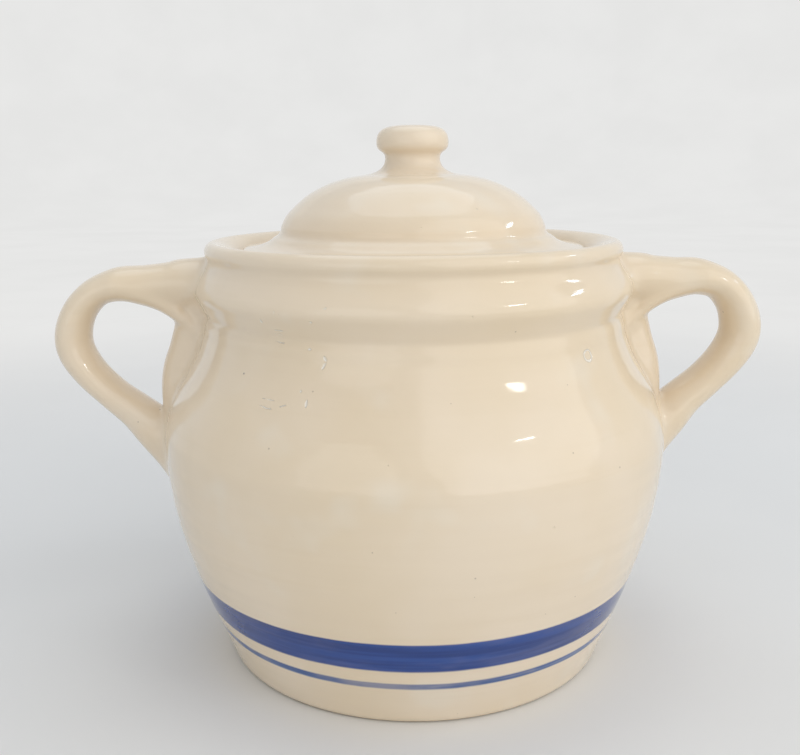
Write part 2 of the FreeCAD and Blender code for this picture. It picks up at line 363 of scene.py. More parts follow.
# The web under the loop's upper root: (share of the way out, share of the height), of one thickness.
WEB = [(-0.12, 0.595), (0.02, 0.668), (0.14, 0.738), (0.26, 0.808), (0.39, 0.852), (0.54, 0.882)]
WEB_THICKNESS = 9.0
LOOP_LOW = WALL[1][0] - 17.3
LOOP_RISE = WALL[-1][0] - LOOP_LOW
# Each handle was pulled by hand: reach added, thickness factor, and how far its lower root is raised.
HAND = {-1: (0.2, 0.97, 0.0), 1: (-2.4, 1.09, 0.035)}


def spline(rows, per_span=24):
    """A smooth run through rows of numbers."""
    p = np.array(rows, float)
    p = np.concatenate([[2 * p[0] - p[1]], p, [2 * p[-1] - p[-2]]])
    out = []
    t = np.linspace(0, 1, per_span, endpoint=False)[:, None]
    for a, b, c, d in zip(p, p[1:], p[2:], p[3:]):
        out.append(0.5 * (2 * b + (c - a) * t + (2 * a - 5 * b + 4 * c - d) * t ** 2
                          + (3 * b - a - 3 * c + d) * t ** 3))
    return np.concatenate(out + [p[-2:-1]])


def bar_lines(side):
    """Centre lines of the loop, its back and its web: rows of (reach, height, thickness, depth)."""
    more, fat, lift = HAND[side]
    full_reach = REACH + more

    def level(v):
        return LOOP_LOW + (v + lift * (1 - v)) * LOOP_RISE

    def out(u, v):
        wall = float(pot_radius(level(v)))
        return wall + u * (full_reach - wall)

    bar = [(out(0, 0.885) - BURY, level(0.885), 22, ROOT_DEPTH)]
    bar += [(out(u, v), level(v), t * (1 + (fat - 1) * min(u / 0.6, 1)), depth)
            for u, v, t, depth in LOOP]
    bar.append((out(0, 0.085) - BURY / 2, level(0.085), 24, ROOT_DEPTH - 2))
    back = [(out(0, v) + proud - t / 2, level(v), t, depth) for v, proud, t, depth in BACK]
    web = [(out(u, v), level(v), WEB_THICKNESS, HANDLE_DEPTH - 1) for u, v in WEB]
    return spline(bar), spline(back), spline(web)


def nearest(line, x, z):
    """Distance to a line in the plane y = 0, and half the bar's thickness and depth there."""
    coarse = 6
    joints = line[::coarse]
    rough = np.argmin((x[:, None] - joints[:, 0]) ** 2 + (z[:, None] - joints[:, 1]) ** 2, 1) * coarse
    best = np.full(len(x), np.inf)
    thick, deep = np.ones(len(x)), np.ones(len(x))
    for shift in range(-coarse - 1, coarse + 1):
        k = np.clip(rough + shift, 0, len(line) - 2)
        s, w = line[k], line[k + 1] - line[k]
        t = ((x - s[:, 0]) * w[:, 0] + (z - s[:, 1]) * w[:, 1]) / (w[:, 0] ** 2 + w[:, 1] ** 2)
        t = np.clip(t, 0, 1)
        gap = np.hypot(x - s[:, 0] - t * w[:, 0], z - s[:, 1] - t * w[:, 1])
        near = gap < best
        best = np.where(near, gap, best)
        thick = np.where(near, (s[:, 2] + t * w[:, 2]) / 2, thick)
        deep = np.where(near, (s[:, 3] + t * w[:, 3]) / 2, deep)
    return best, thick, deep


def oval_distance(near, y):
    """About how far points lie outside a bar of oval section, from what nearest() gives."""
    gap, thick, deep = near
    ratio = np.hypot(gap / thick, y / deep)
    slope = np.maximum(np.hypot(gap / thick ** 2, y / deep ** 2), 1e-6)
    return np.maximum((ratio - 1) * ratio / slope, -thick)


def blended(a, b, size):
    """Union of two distances with a soft hollow of about that size between them."""
    overlap = np.maximum(size - np.abs(a - b), 0) / size
    return np.minimum(a, b) - overlap ** 3 * size / 6


JOIN = 9.0         # size of the soft hollow where a handle meets the pot
LIP_JOIN = 3.0     # the same close under the lip
WEB_JOIN = 7.0     # the same between the loop and its web
BACK_JOIN = 4.0    # the same between the loop and its back
SINK = 0.012       # how far the handle's skin runs under the pot's
RIM_DIP = 0.4      # how much deeper the skin's very rim lies
UNDER_WALL = 2.6   # how deep the handle's solid goes into the pot's wall


def handle_fields(x, y, z, near, side):
    """(the blended skin, what bounds the solid, the skin without the dip of its rim) at points."""
    radius = np.hypot(x, y)
    angle = np.arctan2(y, x * side)
    h = 0.1
    slope = (pot_radius(z + h) - pot_radius(z - h)) / (2 * h)
    pot = (radius - pot_radius(z) - relief(angle, z)) / np.hypot(1, slope)
    loop, back, web = (oval_distance(part, y) for part in near)
    bars = blended(blended(loop, web, WEB_JOIN), back, BACK_JOIN)
    room = np.clip((LIP_MIDDLE + 0.5 - z) / 14, 0, 1)
    join = LIP_JOIN + (JOIN - LIP_JOIN) * room ** 2 * (3 - 2 * room)
    off = np.clip((bars - join + 3.2) / 3.0, 0, 1)
    skin = blended(pot + SINK + RIM_DIP * off ** 2 * (3 - 2 * off), bars, join)
    bound = np.maximum(-(pot + UNDER_WALL), np.maximum(bars - join - 2.5, z - LIP_MIDDLE - 0.8))
    return skin, bound, blended(pot + SINK, bars, join)


def fields_at(points, side, lines):
    """What handle_fields says at rows of points."""
    x, y, z = points.T
    return handle_fields(x, y, z, [nearest(line, x, z) for line in lines], side)


def gradient(field, points, reach):
    """How much a field changes along each axis, over reach to both sides of the points."""
    ahead = [field(points + reach * axis) for axis in np.eye(3)]
    behind = [field(points - reach * axis) for axis in np.eye(3)]
    return np.stack(ahead, 1) - np.stack(behind, 1)


def handle(side, step):
    """Points, faces and directions of one handle's surface. It is worked out at +X and turned over for
    the other side."""
    lines = bar_lines(side)
    low = np.array([72.0, -30.0, 50.0])
    high = np.array([REACH + 4, 30.0, RIM])
    size = ((high - low) / step).astype(int) + 1
    x, y, z = (low[i] + step * np.arange(size[i]) for i in range(3))
    flat_x, flat_z = (part.ravel() for part in np.meshgrid(x, z, indexing="ij"))
    shape = (size[0], 1, size[2])
    near = [[part.reshape(shape) for part in nearest(line, flat_x, flat_z)] for line in lines]
    skin, bound, _ = handle_fields(x[:, None, None], y[None, :, None], z[None, None, :], near, side)
    points, faces = surface_of(np.maximum(skin, bound), low, step)
    shown = fields_at(points, side, lines)[1] < -0.4 * step
    nudge = 0.05
    for _ in range(4):
        here = points[shown]
        value = fields_at(here, side, lines)[0]
        ahead = [fields_at(here + nudge * axis, side, lines)[0] for axis in np.eye(3)]
        slope = (np.stack(ahead, 1) - value[:, None]) / nudge
        move = value / np.maximum((slope ** 2).sum(1), 0.2)
        points[shown] = here - np.clip(move, -step, step)[:, None] * slope
    way = gradient(lambda at: fields_at(at, side, lines)[2], points, 0.4)
    way /= np.linalg.norm(way, axis=1)[:, None]
    way[~shown] = 0
    if side < 0:
        points, way = points * [-1, 1, 1], way * [-1, 1, 1]
        faces = faces[:, ::-1]
    return points, faces.tolist(), way


# ---------------------------------------------------------------- lid and knob

SEAT = LEDGE                                   # underside of the flange
FLANGE_THICKNESS = 4.6
FLANGE_WIDTH = 12.5
FLANGE_CROWN = SEAT + FLANGE_THICKNESS + 3.0   # top of the flange, at the foot of the step
DOME_FOOT = FLANGE_RADIUS - FLANGE_WIDTH
STEP_WIDTH = 3.6
DOME_RADIUS = DOME_FOOT - STEP_WIDTH
DOME_LOW = FLANGE_CROWN + 3.4                  # foot of the dome, on the step
LID_WALL = 5.5
RING_RADIUS = THROAT_RADIUS - 2.0
RING_INSIDE = RING_RADIUS - 5.2


def dome_path(shrink=1.0, drop=0.0):
    """(radius, height) up the dome, to its top."""
    rise = DOME_TOP - DOME_LOW
    shares = [(1.0, 0.0), (0.985, 0.13), (0.92, 0.36), (0.73, 0.71), (0.45, 0.94), (0.0, 1.0),
              (-0.45, 0.94)]
    rows = [(DOME_RADIUS * shrink * r, DOME_LOW - drop + rise * z) for r, z in shares]
    curve = spline(rows)
    keep = curve[:, 0] > 0.02
    return np.concatenate([curve[keep][:np.argmin(curve[keep][:, 0]) + 1], [(0, DOME_TOP - drop)]])


def lid_profile():
    """The lid's section, from the top of the dome round the flange and the ring to the hollow's top."""
    edge = FLANGE_THICKNESS / 2
    rim = FLANGE_RADIUS - edge
    dome = dome_path()[::-1]
    step = bezier((DOME_RADIUS, DOME_LOW), (DOME_RADIUS + 0.7, DOME_LOW - 2.2),
                  (DOME_FOOT - 1.4, FLANGE_CROWN + 1.6), (DOME_FOOT, FLANGE_CROWN + 0.2))
    flange = bezier((DOME_FOOT, FLANGE_CROWN + 0.2), (DOME_FOOT + 1.6, FLANGE_CROWN - 1.2),
                    (FLANGE_RADIUS - FLANGE_WIDTH * 0.6, SEAT + FLANGE_THICKNESS + 0.4),
                    (rim, SEAT + FLANGE_THICKNESS))
    turn = np.radians(np.linspace(90, -90, 24))
    round_edge = np.stack([rim + edge * np.cos(turn), SEAT + edge + edge * np.sin(turn)], 1)
    inner = dome_path((DOME_RADIUS - LID_WALL) / DOME_RADIUS, LID_WALL)
    under = np.array([(RING_RADIUS, SEAT), (RING_RADIUS, RING_LOW), (RING_INSIDE, RING_LOW)])
    hollow = bezier((RING_INSIDE, SEAT), (RING_INSIDE, SEAT + 3),
                    (inner[0][0] + 0.6, inner[0][1] - 3), inner[0])
    return np.concatenate([dome, step, flange, round_edge, under, hollow, inner])


KNOB_NECK = 11.2
KNOB_NECK_HEIGHT = DOME_TOP + 5.8
KNOB_WIDEST = KNOB_TOP - 7.0     # height of the knob's widest ring
KNOB_FOOT = 20.5                 # radius at which its foot has run out into the dome


def knob_profile():
    """The knob's section, from its top down its neck and out into the dome, then back under the skin."""
    dome = dome_path()[::-1]
    before, foot, after = np.interp([KNOB_FOOT - 1, KNOB_FOOT, KNOB_FOOT + 1], *dome.T)
    fall = (after - before) / 2
    edge = KNOB_RADIUS * 0.66
    top = bezier((0, KNOB_TOP), (edge * 0.5, KNOB_TOP), (edge * 0.8, KNOB_TOP - 0.25),
                 (edge, KNOB_TOP - 0.7), count=40)
    corner = bezier((edge, KNOB_TOP - 0.7), (KNOB_RADIUS * 0.88, KNOB_TOP - 1.5),
                    (KNOB_RADIUS, KNOB_TOP - 3.2), (KNOB_RADIUS, KNOB_WIDEST), count=40)
    under = bezier((KNOB_RADIUS, KNOB_WIDEST), (KNOB_RADIUS, KNOB_WIDEST - 4.2),
                   (KNOB_NECK, KNOB_NECK_HEIGHT + 3.4), (KNOB_NECK, KNOB_NECK_HEIGHT), count=40)
    flare = bezier((KNOB_NECK, KNOB_NECK_HEIGHT), (KNOB_NECK, KNOB_NECK_HEIGHT - 3.4),
                   (KNOB_FOOT - 6.5, foot - fall * 6.5), (KNOB_FOOT, foot - SINK), count=60)
    hidden = np.array([(KNOB_FOOT, foot - SINK), (KNOB_FOOT - 1.5, foot - 1.5), (0, DOME_TOP - 2.5)])
    return np.concatenate([top, corner, under, flare, hidden])


# ---------------------------------------------------------------- materials

def linear(r, g, b):
    """A colour as it looks on a screen, 0 to 255, as scene-linear values."""
    def one(c):
        c = c / 255
        return c / 12.92 if c <= 0.04045 else ((c + 0.055) / 1.055) ** 2.4
    return (one(r), one(g), one(b), 1.0)


CREAM = linear(236, 220, 197)
CREAM_WARM = linear(231, 213, 185)
CREAM_THIN = linear(224, 204, 172)
CREAM_COOL = linear(236, 227, 211)
# Brighter cream for the painted glints on the marks in the glaze.
CREAM_PAINTED_GLINT = linear(246, 241, 230)
SPECK = linear(96, 70, 50)
COBALT = linear(34, 73, 149)
COBALT_DEEP = linear(26, 58, 126)
COBALT_THIN = linear(62, 92, 158)
LINE_BLUE = linear(66, 95, 150)
LINE_THIN = linear(128, 144, 178)
BARE_CLAY = linear(206, 188, 158)
GLAZE_IOR = 1.48


class Nodes:
    """A short way to build a node material."""

    def __init__(self, name):
        self.material = bpy.data.materials.new(name)
        self.material.use_nodes = True
        self.tree = self.material.node_tree
        self.tree.nodes.clear()

    def add(self, kind, **values):
        """A node with some of its settings."""
        node = self.tree.nodes.new(kind)
        for key, value in values.items():
            setattr(node, key, value)
        return node

    def link(self, source, target):
        self.tree.links.new(source, target)

    def math(self, operation, a, b=None):
        """One sum on sockets or numbers."""
        node = self.add("ShaderNodeMath", operation=operation)
        for socket, value in zip(node.inputs, (a, b)):
            if value is None:
                continue
            if isinstance(value, (int, float)):
                socket.default_value = value
            else:
                self.link(value, socket)
        return node.outputs[0]

    def span(self, value, low, high, to_low=0.0, to_high=1.0):
        """A smooth step of value between low and high."""
        node = self.add("ShaderNodeMapRange", interpolation_type="SMOOTHSTEP")
        self.link(value, node.inputs["Value"])
        ends = {"From Min": low, "From Max": high, "To Min": to_low, "To Max": to_high}
        for name, number in ends.items():
            node.inputs[name].default_value = number
        return node.outputs["Result"]

    def mix(self, factor, a, b):
        """A mix of two colours. Each may be a socket or a colour."""
        node = self.add("ShaderNodeMix", data_type="RGBA")
        for socket, value in ((node.inputs[0], factor), (node.inputs[6], a), (node.inputs[7], b)):
            if isinstance(value, (int, float, tuple)):
                socket.default_value = value
            else:
                self.link(value, socket)
        return node.outputs[2]

    def noise(self, vector, scale, detail=2.0, roughness=0.5):
        """Noise about 0.5."""
        node = self.add("ShaderNodeTexNoise")
        self.link(vector, node.inputs["Vector"])
        for name, number in {"Scale": scale, "Detail": detail, "Roughness": roughness}.items():
            node.inputs[name].default_value = number
        return node.outputs["Fac"]

    def scaled(self, vector, scale):
        node = self.add("ShaderNodeMapping")
        self.link(vector, node.inputs["Vector"])
        node.inputs["Scale"].default_value = scale
        return node.outputs["Vector"]

    def spots(self, vector, scale, radius, share):
        """1 in sparse round spots: one in a share of the cells of a grid has one."""
        cells = self.add("ShaderNodeTexVoronoi", feature="F1")
        self.link(vector, cells.inputs["Vector"])
        cells.inputs["Scale"].default_value = scale
        pick = self.add("ShaderNodeSeparateColor")
        self.link(cells.outputs["Color"], pick.inputs["Color"])
        chosen = self.math("LESS_THAN", pick.outputs["Red"], share)
        size = self.math("MULTIPLY", self.math("ADD", pick.outputs["Green"], 0.4), radius)
        near = self.math("DIVIDE", cells.outputs["Distance"], size)
        return self.math("MULTIPLY", self.span(near, 0.55, 1.0, 1.0, 0.0), chosen)


# Marks in the glaze of this pot, in mm: pits, short scratches, a crescent and a ring. They dent the
# glaze, and the brighter cream on them is painted glints. Each is a stroke between two points, its width,
# and for the ring its radius.
MARKS = [
    ((-56.7, -67.1, 150.4), (-56.7, -67.1, 149.4), 0.9, 0.0),
    ((-51.5, -72.8, 153.8), (-51.4, -72.8, 153.4), 0.6, 0.0),
    ((-52.4, -68.7, 146.9), (-48.4, -71.6, 146.8), 0.45, 0.0),
    ((-52.9, -67.8, 145.5), (-48.1, -71.1, 145.1), 0.45, 0.0),
    ((-51.6, -68.4, 142.5), (-47.9, -71.1, 142.7), 0.4, 0.0),
    ((-38.6, -79.6, 151.5), (-38.6, -79.7, 151.0), 0.7, 0.0),
    ((-34.0, -82.4, 156.2), (-33.4, -82.6, 156.5), 0.7, 0.0),
    ((-39.7, -76.1, 141.3), (-39.3, -76.3, 141.2), 0.6, 0.0),
    ((-34.3, -78.9, 139.3), (-33.6, -79.6, 137.4), 0.9, 0.0),
    ((-33.6, -79.6, 137.4), (-35.6, -79.7, 134.5), 0.8, 0.0),
    ((-64.1, -61.8, 130.0), (-63.7, -62.2, 130.0), 0.6, 0.0),
    ((-56.7, -73.1, 123.4), (-51.9, -76.6, 123.3), 0.45, 0.0),
    ((-58.1, -73.7, 121.1), (-52.9, -77.9, 120.6), 0.5, 0.0),
    ((-50.4, -78.9, 121.6), (-47.5, -79.9, 122.6), 0.45, 0.0),
    ((-42.7, -79.6, 127.4), (-42.6, -79.7, 127.2), 0.6, 0.0),
    ((-40.5, -82.3, 124.9), (-41.1, -83.5, 122.4), 1.0, 0.0),
    ((59.5, -63.6, 135.0), (59.5, -63.6, 135.0), 0.6, 2.1),
    ((57.6, -63.9, 139.5), (59.2, -62.5, 139.5), 0.5, 0.0),
]
PINHOLE = ((-64.1, -61.8, 130.0), (-63.8, -62.1, 130.0), 0.55, 0.0)


def stroke(build, place, start, end, width, ring):
    """1 on the line from start to end, or on a ring of that radius, falling to 0 at its width."""
    a, b = Vector(start) * MM, Vector(end) * MM
    off = build.add("ShaderNodeVectorMath", operation="SUBTRACT")
    build.link(place, off.inputs[0])
    off.inputs[1].default_value = a
    offset = off.outputs[0]
    way = b - a
    if way.length > 0:
        along = build.add("ShaderNodeVectorMath", operation="DOT_PRODUCT")
        build.link(offset, along.inputs[0])
        along.inputs[1].default_value = way / way.length_squared
        share = build.math("MINIMUM", build.math("MAXIMUM", along.outputs["Value"], 0.0), 1.0)
        foot = build.add("ShaderNodeVectorMath", operation="SCALE")
        foot.inputs[0].default_value = way
        build.link(share, foot.inputs["Scale"])
        rest = build.add("ShaderNodeVectorMath", operation="SUBTRACT")
        build.link(offset, rest.inputs[0])
        build.link(foot.outputs[0], rest.inputs[1])
        offset = rest.outputs[0]
    length = build.add("ShaderNodeVectorMath", operation="LENGTH")
    build.link(offset, length.inputs[0])
    gap = length.outputs["Value"]
    if ring:
        gap = build.math("ABSOLUTE", build.math("SUBTRACT", gap, ring * MM))
    elif way.length > 1.5 * MM:
        rest_share = build.math("SUBTRACT", 1.0, share)
        middle = build.math("MULTIPLY", build.math("MULTIPLY", share, rest_share), 3.4)
        gap = build.math("DIVIDE", gap, build.math("ADD", middle, 0.15))
    return build.span(gap, 0.0, width * MM, 1.0, 0.0)


def pot_marks_and_glints(build, place):
    """All the marks of the pot as one height, a little ragged. It dents the glaze and sets where painted
    glints lighten it.
    """
    ragged = build.add("ShaderNodeTexNoise")
    build.link(place, ragged.inputs["Vector"])
    ragged.inputs["Scale"].default_value = 420.0
    shift = build.add("ShaderNodeVectorMath", operation="MULTIPLY_ADD")
    build.link(ragged.outputs["Color"], shift.inputs[0])
    shift.inputs[1].default_value = (0.0012, 0.0012, 0.0012)
    shift.inputs[2].default_value = (-0.0006, -0.0006, -0.0006)
    moved = build.add("ShaderNodeVectorMath", operation="ADD")
    build.link(place, moved.inputs[0])
    build.link(shift.outputs[0], moved.inputs[1])
    total = None
    for mark in MARKS:
        one = stroke(build, moved.outputs[0], *mark)
        total = one if total is None else build.math("MAXIMUM", total, one)
    return total


def around_axis(build, place):
    """(direction about the axis, height): a vector whose X and Y are the same all the way up."""
    parts = build.add("ShaderNodeSeparateXYZ")
    build.link(place, parts.inputs[0])
    flat = build.add("ShaderNodeCombineXYZ")
    build.link(parts.outputs["X"], flat.inputs["X"])
    build.link(parts.outputs["Y"], flat.inputs["Y"])
    unit = build.add("ShaderNodeVectorMath", operation="NORMALIZE")
    build.link(flat.outputs[0], unit.inputs[0])
    return unit.outputs[0], parts.outputs["Z"]


def raised(build, vector, height):
    """A vector with another height."""
    up = build.add("ShaderNodeCombineXYZ")
    build.link(height, up.inputs["Z"])
    total = build.add("ShaderNodeVectorMath", operation="ADD")
    build.link(vector, total.inputs[0])
    build.link(up.outputs[0], total.inputs[1])
    return total.outputs[0]


def glaze_parts(build):
    """The cream glaze that every piece has: (place, direction about the axis, height, colour, rings)."""
    place = build.add("ShaderNodeTexCoord").outputs["Object"]
    about, height = around_axis(build, place)
    cloud = build.noise(place, 11.0, 3.0, 0.55)
    drift = build.noise(place, 38.0, 2.0, 0.5)
    colour = build.mix(build.span(cloud, 0.34, 0.66), CREAM_WARM, CREAM)
    colour = build.mix(build.span(drift, 0.55, 0.8, 0.0, 0.45), colour, CREAM_COOL)
    turned = raised(build, build.scaled(about, (0.9, 0.9, 0.0)), build.math("MULTIPLY", height, 260.0))
    rings = build.noise(turned, 1.0, 2.0, 0.6)
    colour = build.mix(build.span(rings, 0.5, 0.8, 0.0, 0.12), colour, CREAM_THIN)
    freckle = build.spots(place, 95.0, 0.028, 0.06)
    fine = build.spots(place, 260.0, 0.09, 0.06)
    fine = build.math("MULTIPLY", fine, 0.35)
    specks = build.math("MAXIMUM", build.math("MULTIPLY", freckle, 0.75), fine)
    colour = build.mix(specks, colour, SPECK)
    return place, about, height, colour, rings


def glaze_bump(build, place, rings, marks_and_glints=None):
    """The normal of the glaze: swells, turning lines, orange peel, pinholes and any marks."""
    swell = build.noise(place, 55.0, 2.0, 0.45)
    peel = build.noise(place, 240.0, 2.0, 0.5)
    pits = build.spots(place, 140.0, 0.06, 0.12)
    normal = None
    layers = [(swell, 0.30, 0.0006), (rings, 0.25, 0.00025), (peel, 0.10, 0.00015), (pits, -0.6, 0.0003)]
    if marks_and_glints is not None:
        layers.append((marks_and_glints, -0.9, 0.00035))
    for source, strength, depth in layers:
        bump = build.add("ShaderNodeBump")
        bump.inputs["Strength"].default_value = abs(strength)
        bump.inputs["Distance"].default_value = depth
        bump.invert = strength < 0
        build.link(source, bump.inputs["Height"])
        if normal is not None:
            build.link(normal, bump.inputs["Normal"])
        normal = bump.outputs["Normal"]
    return normal


def finished(build, colour, normal, place, bare=None):
    """The glossy shader of a glazed piece. bare is 1 where the clay has no glaze."""
    shader = build.add("ShaderNodeBsdfPrincipled")
    output = build.add("ShaderNodeOutputMaterial")
    build.link(shader.outputs[0], output.inputs["Surface"])
    smear = build.noise(place, 70.0, 3.0, 0.6)
    rough = build.span(smear, 0.35, 0.75, 0.07, 0.14)
    if bare is not None:
        grain = build.noise(place, 900.0, 3.0, 0.7)
        clay = build.mix(build.span(grain, 0.35, 0.65), BARE_CLAY, CREAM_THIN)
        colour = build.mix(bare, colour, clay)
        dull = build.add("ShaderNodeMix", data_type="FLOAT")
        build.link(bare, dull.inputs[0])
        build.link(rough, dull.inputs[2])
        dull.inputs[3].default_value = 0.85
        rough = dull.outputs[0]
    build.link(colour, shader.inputs["Base Color"])
    build.link(rough, shader.inputs["Roughness"])
    build.link(normal, shader.inputs["Normal"])
    shader.inputs["IOR"].default_value = GLAZE_IOR
    shader.inputs["Coat Weight"].default_value = 0.20
    shader.inputs["Coat Roughness"].default_value = 0.05
    return build.material


def between(build, value, low, high, soft):
    """1 where a value lies between low and high, with edges soft to both sides."""
    return build.math("MULTIPLY", build.span(value, low - soft, low + soft),
                      build.span(value, high - soft, high + soft, 1.0, 0.0))


def cream_glaze(name, bare_spans=(), marked_with_glints=False):
    """Cream glaze. bare_spans are (from radius, to radius, from height, to height) in mm of bare clay."""
    build = Nodes(name)
    place, _, height, colour, rings = glaze_parts(build)
    marks_and_glints = None
    if marked_with_glints:
        marks_and_glints = pot_marks_and_glints(build, place)
        # The marks are mixed toward a brighter cream: painted glints on the real pits and scratches.
        colour = build.mix(build.math("MULTIPLY", marks_and_glints, 0.95), colour, CREAM_PAINTED_GLINT)
        colour = build.mix(stroke(build, place, *PINHOLE), colour, SPECK)
    bare = None
    if bare_spans:
        length = build.add("ShaderNodeVectorMath", operation="LENGTH")
        build.link(build.scaled(place, (1.0, 1.0, 0.0)), length.inputs[0])
        radius = length.outputs["Value"]
        ragged = build.math("MULTIPLY", build.math("SUBTRACT", build.noise(place, 160.0), 0.5), 0.0012)
        radius = build.math("ADD", radius, ragged)
        level = build.math("ADD", height, ragged)
        for r0, r1, z0, z1 in bare_spans:
            inside = between(build, radius, r0 * MM, r1 * MM, 0.0003)
            inside = build.math("MULTIPLY", inside, between(build, level, z0 * MM, z1 * MM, 0.0003))
            bare = inside if bare is None else build.math("MAXIMUM", bare, inside)
    return finished(build, colour, glaze_bump(build, place, rings, marks_and_glints), place, bare)


def brushed_band(name, low, high, deep, full, thin, soft, density, weakest):
    """Glaze over a band of brushed pigment between two heights, in mm. soft is the softness of its
    edges, in mm, density how strong its streaks are, and weakest how strong its faintest part is."""
    build = Nodes(name)
    place, about, height, cream, rings = glaze_parts(build)
    wide = build.scaled(about, (1.1, 1.1, 0.0))
    waver = build.noise(wide, 1.6, 3.0, 0.6)
    waver = build.math("MULTIPLY", build.math("SUBTRACT", waver, 0.5), 0.0011)
    level = build.math("ADD", height, waver)
    bristle = build.noise(raised(build, wide, build.math("MULTIPLY", height, 900.0)), 1.0, 3.0, 0.7)
    sweep = build.noise(raised(build, wide, build.math("MULTIPLY", height, 330.0)), 1.0, 2.0, 0.6)
    ink = build.mix(build.span(sweep, 0.35, 0.65), deep, full)
    ink = build.mix(build.span(bristle, 0.52, 0.78, 0.0, density), ink, thin)
    edge = build.math("MULTIPLY", build.math("SUBTRACT", bristle, 0.5), 0.0006)
    inside = between(build, build.math("ADD", level, edge), low * MM, high * MM, soft * MM)
    slow = raised(build, build.scaled(about, (2.4, 2.4, 0.0)), build.math("MULTIPLY", height, 120.0))
    load = build.noise(slow, 1.0, 3.0, 0.6)
    inside = build.math("MULTIPLY", inside, build.span(load, 0.34, 0.58, weakest, 1.0))
    colour = build.mix(inside, cream, ink)
    return finished(build, colour, glaze_bump(build, place, rings), place)


# ---------------------------------------------------------------- pieces

def pot_bulge(angle, height, radius):
    """Relief on the outside of the pot only."""
    outside = np.clip((radius - pot_radius(height) + 2.0) / 1.5, 0, 1)
    return relief(angle, height) * outside


TURNS = 300          # points round the pot, its bands and the lid


def pot_rows():
    """The pot's section as the rows of its mesh: close together outside, wider apart inside."""
    under = thinned(SECTION[:FOOT_START + 1], 26)
    outside = thinned(SECTION[FOOT_START:CREST + 1], 205, 4.0)
    inside = thinned(SECTION[CREST:], 96, 6.0)
    return np.concatenate([under[:-1], outside, inside[1:]])


def build_pot(rows):
    points, faces = lathe(rows, TURNS, pot_bulge)
    glaze = cream_glaze("cream_glaze_pot", [(FOOT_INSIDE - 1.2, FOOT_BASE + 2.2, -1.0, 1.3)], True)
    mesh_piece("crock_body_glazed", points, faces, "crock", glaze, ["crock_body"])


def build_band(name, rows, low, high, material, node):
    """A thin skin on the pot's own rows, a little taller than its band. Its rim dips under the pot's."""
    margin, proud, thick = 3.0, 0.03, 0.5
    span = rows[(rows[:, 1] > low - margin) & (rows[:, 1] < high + margin) & (rows[:, 0] > FOOT_BASE)
                & (np.arange(len(rows)) < np.argmax(rows[:, 1]))]
    z = span[:, 1]
    from_rim = np.minimum(z - z[0], z[-1] - z)
    lift = np.clip(from_rim / 1.5, 0, 1) * 2 * proud - proud
    outside = np.stack([span[:, 0] + lift, z], 1)
    inside = np.stack([span[:, 0] - thick, z], 1)[::-1]
    points, faces = lathe(np.concatenate([outside, inside]), TURNS, lambda a, h, r: relief(a, h))
    mesh_piece(name, points, faces, "crock", material, [node])


def build_bands(rows):
    wide = brushed_band("cobalt_band", WIDE_LOW[2] - 0.2, WIDE_HIGH[2] + 0.3,
                        COBALT_DEEP, COBALT, COBALT_THIN, 0.45, 0.5, 0.96)
    build_band("wide_band_brushed", rows, WIDE_LOW[2], WIDE_HIGH[2], wide, "wide_band")
    line = brushed_band("pale_band", NARROW_LOW[2], NARROW_HIGH[2],
                        LINE_BLUE, LINE_BLUE, LINE_THIN, 0.45, 0.9, 0.72)
    build_band("narrow_band_brushed", rows, NARROW_LOW[2], NARROW_HIGH[2], line,
               "narrow_band")


def build_handles():
    glaze = cream_glaze("cream_glaze_handles")
    for side, word in ((-1, "left"), (1, "right")):
        points, faces, way = handle(side, 0.8)
        piece = mesh_piece(f"handle_{word}_luted", points, faces, "crock", glaze,
                           [f"handle_{word}"])
        piece.data.normals_split_custom_set_from_vertices(way.tolist())


def build_lid():
    profile = thinned(softened(lid_profile(), 0.45), 240)
    points, faces = lathe(profile[::-1], TURNS)
    seat = (RING_RADIUS - 6, FLANGE_RADIUS - 1.6, RING_LOW - 1, SEAT + 0.6)
    glaze = cream_glaze("cream_glaze_lid", [seat])
    mesh_piece("lid_glazed", points, faces, "lid", glaze, ["lid"])
    knob = thinned(softened(knob_profile(), 0.3), 130)
    points, faces = lathe(knob[::-1], 160)
    glaze = cream_glaze("cream_glaze_knob")
    mesh_piece("lid_knob_glazed", points, faces, "lid", glaze, ["lid_knob"])


# ---------------------------------------------------------------- stage, light and camera

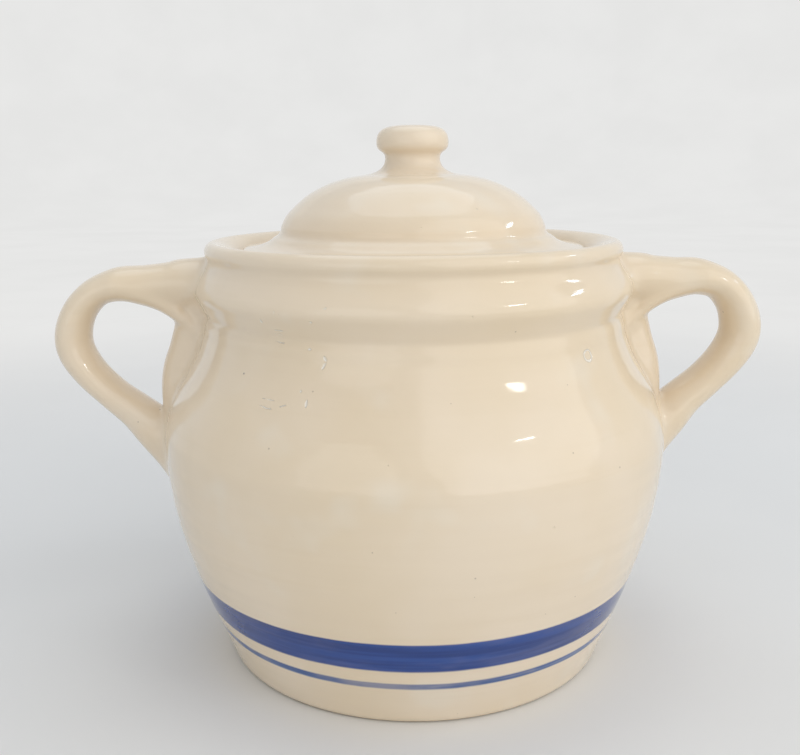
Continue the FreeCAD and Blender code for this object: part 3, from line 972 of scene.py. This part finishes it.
def build_floor():
    """A pale dish: a round floor that curves up into a low wall. Away from the pot it is evenly pale."""
    flat, bend, top, sides = 3.2, 1.2, 2.6, 128
    turn = np.radians(np.linspace(0, 90, 25))
    profile = [(0.5, 0.0), (flat, 0.0)]
    profile += [(flat + bend * math.sin(a), bend - bend * math.cos(a)) for a in turn[1:]]
    profile.append((flat + bend, top))
    angle = np.linspace(0, 2 * math.pi, sides, endpoint=False)
    points = [(0, 0, 0)] + [(r * math.cos(a), r * math.sin(a), z) for r, z in profile for a in angle]
    faces = [(0, 1 + i, 1 + (i + 1) % sides) for i in range(sides)]
    for row in range(len(profile) - 1):
        for i in range(sides):
            here, after = 1 + row * sides + i, 1 + row * sides + (i + 1) % sides
            faces.append((here, here + sides, after + sides, after))
    mesh = bpy.data.meshes.new("floor")
    mesh.from_pydata(points, [], faces)
    mesh.polygons.foreach_set("use_smooth", np.ones(len(mesh.polygons), bool))
    build = Nodes("pale_floor")
    place = build.add("ShaderNodeTexCoord").outputs["Object"]
    radius = build.add("ShaderNodeVectorMath", operation="LENGTH")
    build.link(build.scaled(place, (1.0, 1.0, 0.0)), radius.inputs[0])
    shade = build.mix(build.span(build.noise(place, 3.0, 3.0, 0.6), 0.3, 0.7), linear(229, 229, 228),
                      linear(232, 232, 231))
    shader = build.add("ShaderNodeBsdfPrincipled")
    shader.inputs["Roughness"].default_value = 0.8
    build.link(shade, shader.inputs["Base Color"])
    glow = build.add("ShaderNodeEmission")
    build.link(shade, glow.inputs["Color"])
    path = build.add("ShaderNodeLightPath")
    seen = build.math("MAXIMUM", path.outputs["Is Camera Ray"], path.outputs["Is Glossy Ray"])
    seen = build.math("MAXIMUM", seen, path.outputs["Is Transmission Ray"])
    far = build.math("MULTIPLY", build.span(radius.outputs["Value"], 0.25, 1.0), seen)
    blend = build.add("ShaderNodeMixShader")
    build.link(far, blend.inputs[0])
    build.link(shader.outputs[0], blend.inputs[1])
    build.link(glow.outputs[0], blend.inputs[2])
    output = build.add("ShaderNodeOutputMaterial")
    build.link(blend.outputs[0], output.inputs["Surface"])
    mesh.materials.append(build.material)
    floor = bpy.data.objects.new("floor", mesh)
    bpy.context.scene.collection.objects.link(floor)


def soft_lamp(name, place, target, size, power, colour, flatness=1.0):
    """A round area lamp that looks at a target. flatness is its height as a share of its width."""
    data = bpy.data.lights.new(name, "AREA")
    data.shape = "ELLIPSE"
    data.size = size
    data.size_y = size * flatness
    data.energy = power
    data.color = colour
    lamp = bpy.data.objects.new(name, data)
    lamp.location = place
    lamp.rotation_euler = (Vector(target) - Vector(place)).to_track_quat("-Z", "Y").to_euler()
    bpy.context.scene.collection.objects.link(lamp)


def build_light():
    middle = (0, 0, 0.10)
    soft_lamp("spark", (0.98, -0.84, 0.82), middle, 0.26, 0.8, (1.0, 0.98, 0.96), 0.16)
    soft_lamp("key", (1.4, -1.4, 1.05), middle, 3.6, 26.0, (1.0, 0.97, 0.93))
    soft_lamp("fill", (-1.0, -1.7, 0.45), middle, 1.6, 3.6, (0.95, 0.97, 1.0))
    soft_lamp("window", (1.5, 0.15, 1.0), middle, 0.30, 1.0, (0.74, 0.87, 1.0), 0.3)
    soft_lamp("top", (0.0, 0.5, 1.7), middle, 1.6, 4.5, (0.82, 0.91, 1.0))
    world = bpy.data.worlds.new("studio")
    world.use_nodes = True
    world.node_tree.nodes["Background"].inputs[0].default_value = (0.95, 0.97, 1.0, 1.0)
    world.node_tree.nodes["Background"].inputs[1].default_value = 0.67
    bpy.context.scene.world = world


def build_camera():
    """The view: 0.4 m in front, a little above the rim, looking 12 degrees down."""
    focal_share = 956.3 / 800      # focal length as a share of the picture's width
    sensor = 36.0
    pitch, roll, heading = math.radians(12.38), math.radians(0.46), math.radians(2.0)
    data = bpy.data.cameras.new("camera")
    data.sensor_width = sensor
    data.lens = focal_share * sensor
    camera = bpy.data.objects.new("camera", data)
    turn = Matrix.Rotation(-heading, 4, "Z") @ Matrix.Rotation(math.pi / 2 - pitch, 4, "X")
    place = Matrix.Translation((-0.0198, -0.3996, 0.2019))
    camera.matrix_world = place @ turn @ Matrix.Rotation(-roll, 4, "Z")
    bpy.context.scene.collection.objects.link(camera)
    bpy.context.scene.camera = camera


bpy.context.scene.view_settings.view_transform = "Standard"
build_floor()
build_light()
build_camera()
pot = pot_rows()
build_pot(pot)
build_bands(pot)
build_handles()
build_lid()
